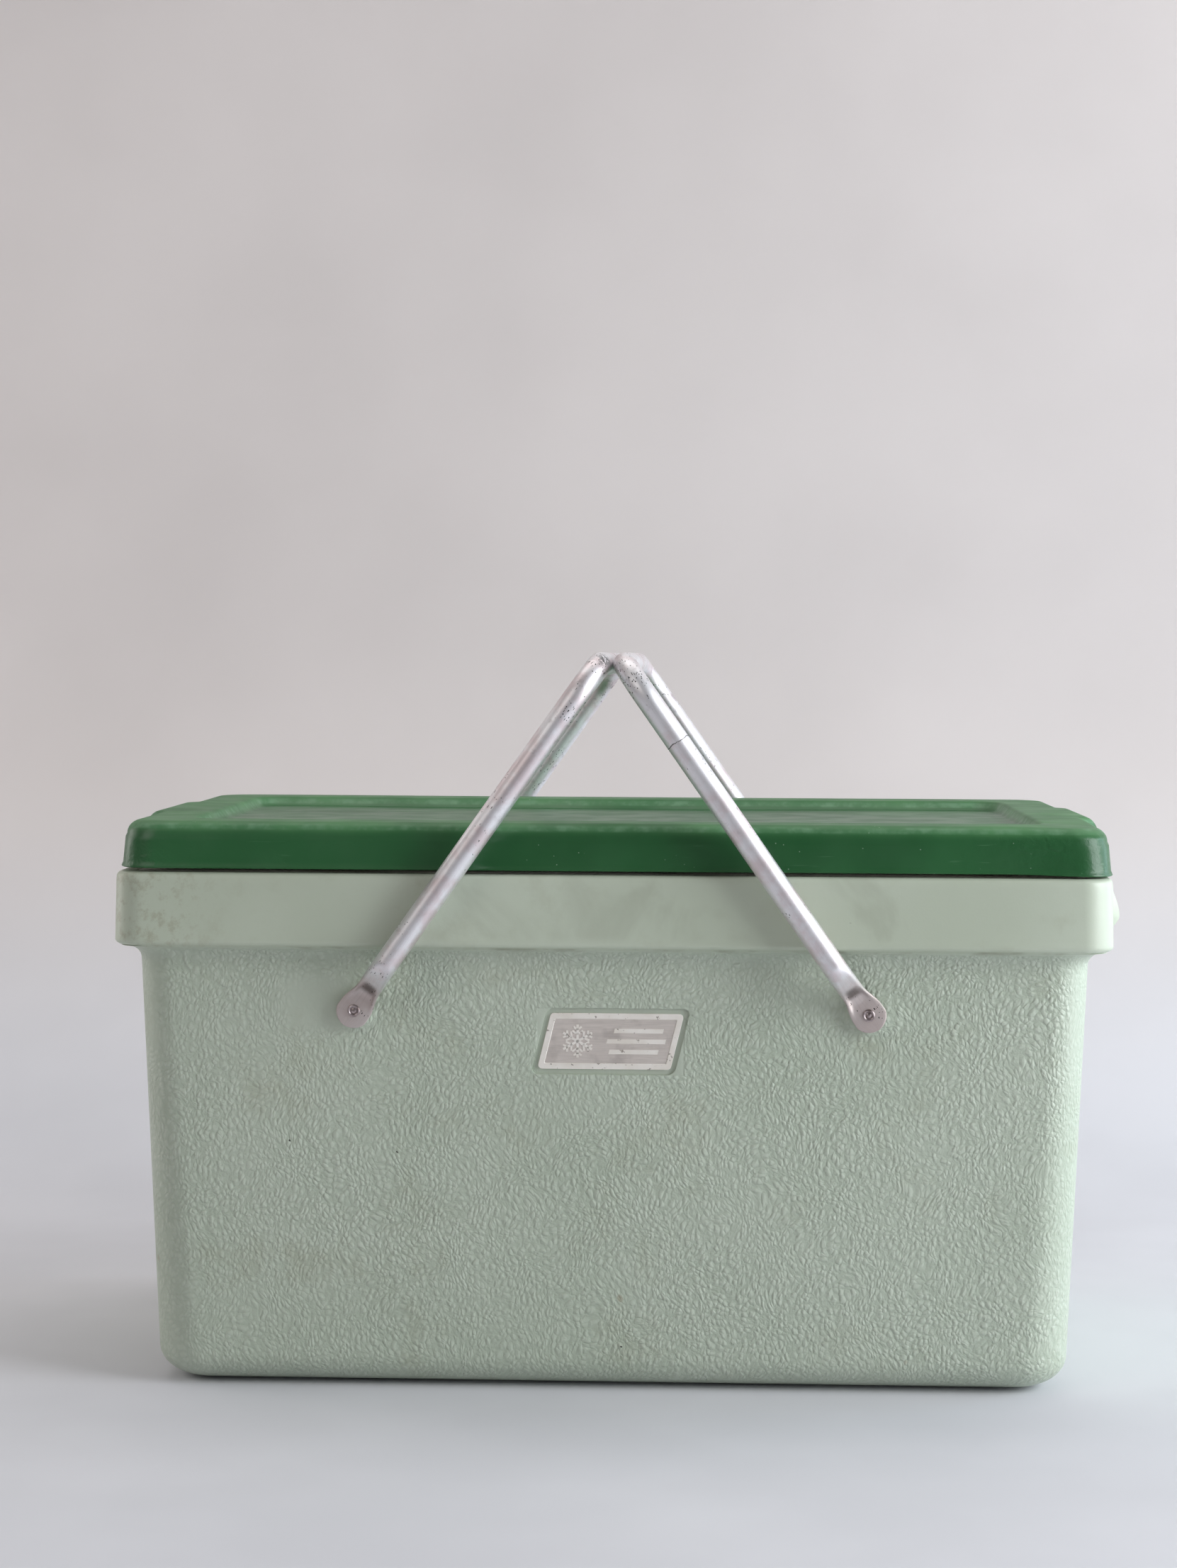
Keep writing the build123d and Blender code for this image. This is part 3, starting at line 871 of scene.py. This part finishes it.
def grained_body():
    """Pale sage polyethylene: leather grain on the body with painted shade in its hollows, smooth and a
    little grimy on the collar, with grime and painted shade in the crease under it.
    """
    f = Finish("grained_sage_plastic")
    x, y, z = f.axes()
    half = (0.5, 0.5, 0.5)
    drift = f.vector_math("SUBTRACT", f.noise(30, 2.0, colour=True), half)
    fine = f.vector_math("SUBTRACT", f.noise(340, 1.5, colour=True), half)

    def pushed(place, direction, reach):
        return f.vector_math("ADD", place, f.vector_math("SCALE", direction, scale=reach))

    flow = pushed(f.place, drift, 0.018)
    warped = pushed(flow, fine, 0.0013)
    cells = f.scaled(warped, (395, 395, 300))
    pebble = f.ramp(f.cells(1.0, "SMOOTH_F1", cells, smooth=0.30), 0.08, 0.70, 1.0, 0.0)
    crease = f.ramp(f.cells(1.0, "DISTANCE_TO_EDGE", cells), 0.0, 0.15)
    lumps = f.ramp(f.noise(1.0, 1.5, 0.5, 0.4, place=f.scaled(flow, (430, 430, 350))), 0.34, 0.64)
    grain = f.plus(f.plus(f.times(pebble, 0.60), f.times(lumps, 0.30)), f.times(crease, 0.10))
    on_body = f.ramp(z, 0.2352, 0.2374, 1.0, 0.0)
    off_base = f.ramp(z, 0.001, 0.008)
    corner = f.times(f.ramp(f.math("ABSOLUTE", x), 0.236, 0.2475),
                     f.ramp(f.math("ABSOLUTE", y), 0.136, 0.1475))
    in_front = f.ramp(y, -0.13, -0.12, 1.0, 0.0)
    patch = f.times(near(f, x, -0.156, 0.009, 0.026), near(f, z, 0.207, 0.008, 0.020), in_front)
    in_badge = f.times(near(f, x, 0.0, 0.0385, 0.0395), near(f, z, 0.1883, 0.0172, 0.0180), in_front)
    fade = f.times(on_body, off_base, f.ramp(corner, 0.0, 0.7, 1.0, 0.5), f.rest(f.times(patch, 0.85)),
                   f.rest(f.times(in_badge, 0.9)), f.blot(14, 2.0, 0.3, 0.7, 0.7, 1.0))
    height = f.plus(f.times(grain, fade), f.times(f.noise(900, 3.0), 0.06))

    base = f.mix(f.blot(9, 3.0, 0.35, 0.65), (189, 199, 182), (195, 204, 188))
    collar = f.mix(f.blot(7, 2.0, 0.35, 0.65), (189, 198, 179), (197, 206, 188))
    colour = f.mix(f.ramp(z, 0.2358, 0.2385), base, collar)
    # Painted shade: the grain's hollows are darkened in colour where shade would fall.
    grain_valley_shade = f.times(f.ramp(grain, 0.25, 0.62, 1.0, 0.0), fade)
    colour = f.mix(f.times(grain_valley_shade, 0.26), colour, (148, 164, 142))
    grime = f.times(f.ramp(f.noise(22, 5.0, 0.65), 0.52, 0.78), 0.32)
    colour = f.mix(grime, colour, (150, 151, 124))
    # Grime and painted shade: a blotchy dark brown band in the crease just under the collar's overhang.
    crease_grime_and_shade = f.times(near(f, z, 0.2374, 0.0004, 0.0016), f.blot(60, 4.0, 0.45, 0.70))
    colour = f.mix(f.times(crease_grime_and_shade, 0.40), colour, (104, 98, 70))
    smudge = f.times(f.ramp(f.noise(16, 4.0, 0.6, 0.6), 0.55, 0.72), f.ramp(z, 0.240, 0.246))
    colour = f.mix(f.times(smudge, 0.20), colour, (128, 130, 110))
    left_end = f.times(f.ramp(x, -0.245, -0.190, 1.0, 0.0), f.ramp(z, 0.2365, 0.2385),
                       f.ramp(f.noise(170, 5.0, 0.7), 0.46, 0.66))
    colour = f.mix(f.times(left_end, 0.34), colour, (136, 124, 92))
    specks = f.ramp(f.cells(46, place=pushed(f.place, fine, 0.003)), 0.020, 0.034, 1.0, 0.0)
    speck_here = f.blot(11, 1.0, 0.51, 0.55)
    colour = f.mix(f.times(specks, speck_here), colour, (40, 34, 26))
    rust = f.ramp(f.cells(17.5, place=pushed(f.place, drift, 0.01)), 0.022, 0.040, 1.0, 0.0)
    colour = f.mix(f.times(rust, 0.35), colour, (142, 112, 72))
    rough = f.plus(f.blot(30, 4.0, 0.3, 0.7, 0.36, 0.47), f.times(grime, 0.4))
    return f.done(base_color=colour, roughness=rough, normal=f.bump(height, 0.00062, 1.0),
                  subsurface_weight=0.06, subsurface_radius=(0.004, 0.005, 0.004), specular_ior_level=0.6)


def lid_plastic():
    """Deep green polyethylene, chalky and lighter on top from sun fading and a painted sheen, glossy and
    rippled at the sides.
    """
    f = Finish("deep_green_plastic")
    x, y, z = f.axes()
    top = f.ramp(z, 0.2960, 0.3025)
    tone = f.mix(f.blot(12, 3.0, 0.35, 0.65), (34, 86, 46), (44, 98, 56))
    # Sun fading and painted sheen: the top is made lighter, standing in for its grazing reflection as well as
    # its bleaching.
    top_fade_and_sheen = f.mix(f.blot(26, 4.0, 0.35, 0.7), (56, 116, 64), (76, 136, 80))
    colour = f.mix(f.times(top, f.blot(18, 4.0, 0.2, 0.7, 0.45, 0.9)), tone, top_fade_and_sheen)
    # Painted highlight and wear: a lighter blotchy line along the rounded top edge of the lid.
    edge = f.times(near(f, z, 0.3012, 0.0006, 0.0022), f.blot(140, 4.0, 0.4, 0.7, 0.2, 0.8))
    colour = f.mix(edge, colour, (104, 148, 112))
    scratches = f.times(f.ramp(f.noise(1.0, 2.0, place=f.stretched((30.0, 160.0, 420.0))), 0.70, 0.76),
                        f.ramp(top, 0.0, 1.0, 0.16, 0.0))
    colour = f.mix(scratches, colour, (118, 160, 126))
    dust = f.times(f.ramp(f.cells(240), 0.05, 0.09, 1.0, 0.0), f.blot(35, 2.0, 0.55, 0.62), 0.6)
    colour = f.mix(dust, colour, (170, 190, 170))
    ripple_here = f.math("MAXIMUM", f.times(f.ramp(f.math("ABSOLUTE", x), 0.15, 0.25),
                                            f.blot(24, 2.0, 0.38, 0.62)), 0.08)
    ripple = f.times(f.noise(260, 3.0, 0.55, 0.4), f.times(ripple_here, f.ramp(top, 0.0, 1.0, 1.0, 0.01)))
    orange_peel = f.times(f.noise(75, 2.0), f.ramp(top, 0.0, 1.0, 0.40, 0.02))
    panel_grain = f.times(f.cells(430, "SMOOTH_F1", smooth=0.6), top, 0.02)
    height = f.plus(f.plus(ripple, orange_peel), panel_grain)
    rough = f.plus(f.blot(40, 4.0, 0.3, 0.7, 0.30, 0.40), f.times(top, 0.16))
    return f.done(base_color=colour, roughness=rough, normal=f.bump(height, 0.0007, 0.8),
                  specular_ior_level=0.5)


def tube_aluminium():
    """Drawn aluminium gone dull: lengthwise draw lines, black pits, pink-grey oxide and painted shade in the
    crimp's pocket.
    """
    f = Finish("dull_tube_aluminium")
    along, around = f.attribute("along"), f.attribute("around")
    x, y, z = f.axes()
    turn = f.times(around, 2 * math.pi)

    def unrolled(long_scale, round_scale):
        """Texture place that runs along the tube and closes round it."""
        place = f.add("ShaderNodeCombineXYZ")
        f.feed(place.inputs[0], f.times(along, long_scale))
        f.feed(place.inputs[1], f.times(f.math("SINE", turn), round_scale))
        f.feed(place.inputs[2], f.times(f.math("COSINE", turn), round_scale))
        return place.outputs[0]

    lines = f.noise(6.0, 4.0, 0.6, place=unrolled(9.0, 9.0))
    colour = f.mix(f.ramp(f.noise(55, 4.0, 0.6), 0.4, 0.65), (244, 243, 246), (232, 220, 222))
    colour = f.mix(f.times(f.ramp(lines, 0.45, 0.75), 0.3), colour, (170, 164, 168))
    worn = f.ramp(along, 0.10, 0.24)
    pits = f.math("LESS_THAN", f.cells(520), f.ramp(worn, 0.0, 1.0, 0.12, 0.20))
    nicks = f.math("LESS_THAN", f.cells(1.0, place=unrolled(230.0, 5.5)), 0.17)
    pit_here = f.blot(48, 3.0, f.ramp(worn, 0.0, 1.0, 0.57, 0.47), 0.64)
    pits = f.times(f.math("MAXIMUM", pits, nicks), f.math("GREATER_THAN", pit_here, 0.25))
    seam_line = f.plus(along, f.times(f.math("SUBTRACT", f.noise(160, 4.0), 0.5), 0.004))
    seam = f.times(near(f, seam_line, 0.1755, 0.00012, 0.0004), f.ramp(x, 0.0, 0.002),
                   f.ramp(y, -0.170, -0.168, 1.0, 0.0))
    apex = f.times(f.ramp(z, 0.3855, 0.3895), f.ramp(y, -0.150, -0.158), near(f, x, -0.0025, 0.0012, 0.0065),
                   f.ramp(f.noise(330, 4.0, 0.7), 0.42, 0.50))
    dark = f.math("MAXIMUM", f.math("MAXIMUM", pits, apex), f.times(seam, 0.85))
    stain = f.times(f.ramp(f.noise(130, 5.0, 0.7), 0.56, 0.72), f.ramp(worn, 0.0, 1.0, 0.18, 0.5))
    colour = f.mix(stain, colour, (140, 128, 130))
    foot = f.ramp(along, 0.008, 0.030, 1.0, 0.0)
    colour = f.mix(f.times(foot, 0.75), colour, (198, 186, 180))
    # Painted shade: the crimp's pocket just above the foot is darkened in colour.
    pocket = f.times(near(f, along, 0.0150, 0.0008, 0.0045), near(f, around, 0.25, 0.01, 0.11))
    colour = f.mix(f.times(pocket, 0.62), colour, (70, 58, 50))
    colour = f.mix(dark, colour, (22, 20, 20))
    metal = f.rest(f.times(dark, 0.8))
    rough = f.plus(f.plus(f.ramp(lines, 0.3, 0.7, 0.44, 0.54), f.times(stain, 0.2)), f.times(foot, 0.12))
    height = f.math("SUBTRACT", f.times(lines, 0.25), dark)
    return f.done(base_color=colour, metallic=metal, roughness=rough, normal=f.bump(height, 0.00012, 0.7))


def rivet_aluminium():
    f = Finish("grey_rivet_aluminium")
    colour = f.mix(f.blot(400, 4.0, 0.4, 0.7), (196, 184, 184), (140, 126, 122))
    rough = f.blot(600, 3.0, 0.3, 0.7, 0.28, 0.42)
    return f.done(base_color=colour, metallic=1.0, roughness=rough,
                  normal=f.bump(f.noise(900, 3.0), 0.00005, 0.6))


def badge_panel_metal():
    """Brushed panel of the badge, brushed from side to side, greyed and lightly soiled."""
    f = Finish("brushed_badge_panel")
    brushed = f.noise(1.0, 3.0, 0.6, place=f.stretched((90.0, 900.0, 2600.0)))
    colour = f.mix(f.ramp(brushed, 0.35, 0.65), (206, 197, 190), (218, 209, 202))
    colour = f.mix(f.times(f.blot(90, 4.0, 0.5, 0.75), 0.4), colour, (150, 140, 136))
    return f.done(base_color=colour, metallic=0.15, roughness=f.ramp(brushed, 0.3, 0.7, 0.38, 0.5),
                  normal=f.bump(brushed, 0.00006, 0.5))


def badge_enamel():
    """Off-white paint of the badge border and emblem, yellowed and chipped at the edge."""
    f = Finish("offwhite_badge_enamel")
    colour = f.mix(f.blot(60, 4.0, 0.35, 0.7), (246, 241, 234), (234, 227, 217))
    chips = f.times(f.blot(420, 4.0, 0.64, 0.69), 0.8)
    colour = f.mix(chips, colour, (140, 128, 118))
    return f.done(base_color=colour, roughness=f.blot(200, 3.0, 0.3, 0.7, 0.32, 0.46),
                  normal=f.bump(f.math("SUBTRACT", f.noise(300, 3.0), chips), 0.00008, 0.5))


def liner_plastic():
    """Off-white liner and lid pan, faintly scuffed and yellowed low down."""
    f = Finish("offwhite_liner_plastic")
    x, y, z = f.axes()
    colour = f.mix(f.blot(10, 4.0, 0.3, 0.7), (232, 231, 224), (222, 219, 206))
    low = f.times(f.ramp(z, 0.03, 0.10, 1.0, 0.0), f.blot(25, 5.0, 0.4, 0.75))
    colour = f.mix(f.times(low, 0.35), colour, (196, 184, 150))
    scuffs = f.ramp(f.noise(1.0, 3.0, place=f.stretched((60.0, 60.0, 500.0))), 0.62, 0.70)
    colour = f.mix(f.times(scuffs, 0.18), colour, (170, 168, 160))
    return f.done(base_color=colour, roughness=f.blot(60, 4.0, 0.3, 0.7, 0.28, 0.4),
                  normal=f.bump(f.noise(120, 3.0), 0.0003, 0.4))


def foam_filling():
    f = Finish("cream_foam")
    bubbles = f.cells(900, "SMOOTH_F1", smooth=0.3)
    colour = f.mix(bubbles, (222, 206, 158), (198, 176, 120))
    return f.done(base_color=colour, roughness=0.95, normal=f.bump(bubbles, 0.0006, 0.8))


def plain_small_part(name, tone_a, tone_b, metallic, rough_low, rough_high):
    """Finish of a small hidden fitting, from two tones."""
    f = Finish(name)
    colour = f.mix(f.blot(300, 4.0, 0.35, 0.7), tone_a, tone_b)
    rough = f.blot(500, 3.0, 0.3, 0.7, rough_low, rough_high)
    return f.done(base_color=colour, metallic=metallic, roughness=rough,
                  normal=f.bump(f.noise(800, 3.0), 0.00005, 0.5))


def paper_sweep():
    """Matt background paper, with painted light: bluish where it lies flat and warmer where it rises."""
    f = Finish("background_paper")
    height = f.axes()[2]
    # Painted light: one paper, tinted warm where it rises and bluish where it lies flat, for the colours of
    # the room and window light.
    wall = f.mix(f.blot(3, 3.0, 0.3, 0.7), (212, 205, 203), (220, 213, 211))
    blue_lit_floor_tint = f.mix(f.blot(5, 3.0, 0.3, 0.7), (212, 212, 217), (219, 219, 224))
    colour = f.mix(f.ramp(height, 0.02, 0.30), blue_lit_floor_tint, wall)
    return f.done(base_color=colour, roughness=0.85, specular_ior_level=0.2,
                  normal=f.bump(f.noise(2.5, 2.0), 0.004, 0.3))


# ---------------------------------------------------------------- stage, light and camera
def make_stage(material):
    """Floor that curves up into a wall behind the chest."""
    bm = bmesh.new()
    reach, floor_end, bend = 4.0, 0.35, 0.45
    profile = [(-reach, 0.0), (floor_end, 0.0)]
    profile += [(floor_end + bend * math.sin(a), bend * rise(a)) for a in arc(16)[1:]]
    profile += [(floor_end + bend, reach)]
    verts = [bm.verts.new((-reach, y, z)) for y, z in profile]
    edges = [bm.edges.new(pair) for pair in zip(verts, verts[1:])]
    made = bmesh.ops.extrude_edge_only(bm, edges=edges)["geom"]
    bmesh.ops.translate(bm, verts=only_verts(made), vec=(2 * reach, 0, 0))
    bmesh.ops.recalc_face_normals(bm, faces=bm.faces)
    mesh = bpy.data.meshes.new("paper_sweep")
    bm.to_mesh(mesh)
    bm.free()
    mesh.materials.append(material)
    shade_faces(mesh)
    sweep = bpy.data.objects.new("paper_sweep", mesh)
    bpy.context.scene.collection.objects.link(sweep)


def area_light(name, place, target, size, power, colour):
    data = bpy.data.lights.new(name, "AREA")
    data.shape = "RECTANGLE"
    data.size, data.size_y = size
    data.energy = power
    data.color = colour
    lamp = bpy.data.objects.new(name, data)
    lamp.location = place
    lamp.rotation_euler = (Vector(target) - Vector(place)).to_track_quat("-Z", "Y").to_euler()
    bpy.context.scene.collection.objects.link(lamp)


def room_light():
    """Soft room: pale above and behind, bright to the right, and dim on the camera's side."""
    world = bpy.data.worlds.new("studio")
    bpy.context.scene.world = world
    world.use_nodes = True
    tree = world.node_tree
    split = tree.nodes.new("ShaderNodeSeparateXYZ")
    tree.links.new(tree.nodes.new("ShaderNodeTexCoord").outputs["Generated"], split.inputs[0])

    def colour_mix():
        node = tree.nodes.new("ShaderNodeMix")
        node.data_type = "RGBA"
        return node

    shades = []
    for axis, low, high, dim, pale in ((0, -0.9, 0.9, (0.50, 0.48, 0.47), (1.0, 1.04, 1.10)),
                                       (1, -0.9, 0.2, (0.42, 0.41, 0.41), (1.0, 1.0, 1.0))):
        share = tree.nodes.new("ShaderNodeMapRange")
        share.interpolation_type = "SMOOTHSTEP"
        share.inputs["From Min"].default_value = low
        share.inputs["From Max"].default_value = high
        tree.links.new(split.outputs[axis], share.inputs["Value"])
        mix = colour_mix()
        mix.inputs["A"].default_value = (*dim, 1.0)
        mix.inputs["B"].default_value = (*pale, 1.0)
        tree.links.new(share.outputs["Result"], mix.inputs["Factor"])
        shades.append(mix.outputs["Result"])
    both = colour_mix()
    both.blend_type = "MULTIPLY"
    both.inputs["Factor"].default_value = 1.0
    tree.links.new(shades[0], both.inputs["A"])
    tree.links.new(shades[1], both.inputs["B"])
    tree.links.new(both.outputs["Result"], tree.nodes["Background"].inputs["Color"])
    tree.nodes["Background"].inputs["Strength"].default_value = 0.36


def make_light():
    room_light()
    area_light("window", (1.9, -0.75, 0.85), (0, 0, 0.2), (1.3, 1.5), 44, (0.93, 0.97, 1.0))
    area_light("window_beyond", (1.3, 0.25, 0.5), (0.1, -0.35, 0.1), (0.5, 0.8), 4.0, (0.70, 0.87, 1.0))
    area_light("left_wall_bounce", (-1.3, 0.25, 0.5), (-0.1, -0.35, 0.1), (0.5, 0.8), 3.2, (1.0, 0.97, 0.94))
    area_light("ceiling", (-0.1, 0.60, 2.2), (0, 0, 0.1), (2.2, 1.0), 15, (1.0, 0.975, 0.95))
    area_light("far_wall_glow", (-1.4, -1.6, 1.6), (0, 0.6, 0.6), (1.2, 1.2), 9, (1.0, 0.96, 0.93))


def make_camera():
    """Long lens a little right of the middle and just above the lid, looking slightly down."""
    place, yaw, pitch, roll = (0.0502, -1.7490, 0.3919), *map(math.radians, (-2.239, 2.414, 0.284))
    data = bpy.data.cameras.new("camera")
    data.sensor_fit = "VERTICAL"
    data.sensor_height = 36.0
    data.lens = 69.85
    camera = bpy.data.objects.new("camera", data)
    forward = Vector((math.sin(yaw) * math.cos(pitch), math.cos(yaw) * math.cos(pitch), -math.sin(pitch)))
    right = Vector((math.cos(yaw), -math.sin(yaw), 0))
    up = right.cross(forward)
    turned_right = right * math.cos(roll) + up * math.sin(roll)
    turned_up = -right * math.sin(roll) + up * math.cos(roll)
    turn = Matrix((turned_right, turned_up, -forward)).transposed()
    camera.matrix_world = Matrix.Translation(place) @ turn.to_4x4()
    bpy.context.scene.collection.objects.link(camera)
    bpy.context.scene.camera = camera


# ---------------------------------------------------------------- the chest
bpy.context.scene.view_settings.view_transform = "Standard"
make_camera()
make_light()
make_stage(paper_sweep())

body_finish, lid_finish = grained_body(), lid_plastic()
liner_finish, tube_finish, rivet_finish = liner_plastic(), tube_aluminium(), rivet_aluminium()
panel_finish, enamel_finish, foam_finish = badge_panel_metal(), badge_enamel(), foam_filling()

part(make_body_shell([body_finish]), "root", "body_green", "outer_shell")
part(make_liner([liner_finish]), "root", "liner_white", "inner_liner")
part(make_lid_shell([lid_finish]), "lid", "lid_green", "lid_shell")
part(make_lid_pan([liner_finish]), "lid", "liner_white", "lid_pan")
part(make_badge([enamel_finish, panel_finish]), "root", "badge_metal", "badge_plate")
part(make_badge_emblem(enamel_finish), "root", "badge_metal")
for side, sign in (("left", -1), ("right", 1)):
    handle = make_handle(f"{side}_tube_handle", sign, tube_finish)
    part(handle, f"{side}_handle_body", "handle_aluminium", f"{side}_handle")

hidden_finishes = {
    "foam": foam_finish,
    "adhesive": plain_small_part("badge_adhesive_film", (168, 156, 128), (140, 128, 100), 0.0, 0.6, 0.8),
    "spacer_plastic": plain_small_part("white_spacer_nylon", (214, 212, 202), (190, 188, 176),
                                       0.0, 0.4, 0.55),
    "washer_steel": plain_small_part("zinc_washer_steel", (176, 176, 174), (140, 140, 142), 1.0, 0.35, 0.5),
}
for end, sign in (("front", -1), ("rear", 1)):
    for side, x in (("left", -PIVOT_X), ("right", PIVOT_X)):
        rivet = make_rivet(f"handle_rivet_{end}_{side}", x, sign, rivet_finish)
        part(rivet, "root", "rivet_aluminium", f"rivet_{end}_{side}")

for entry in frame["record"]["subparts"]:
    finish = hidden_finishes.get(entry["material_slot"])
    if finish:
        node = frame["nodes"][entry["node"]]
        node.data.materials.clear()
        node.data.materials.append(finish)
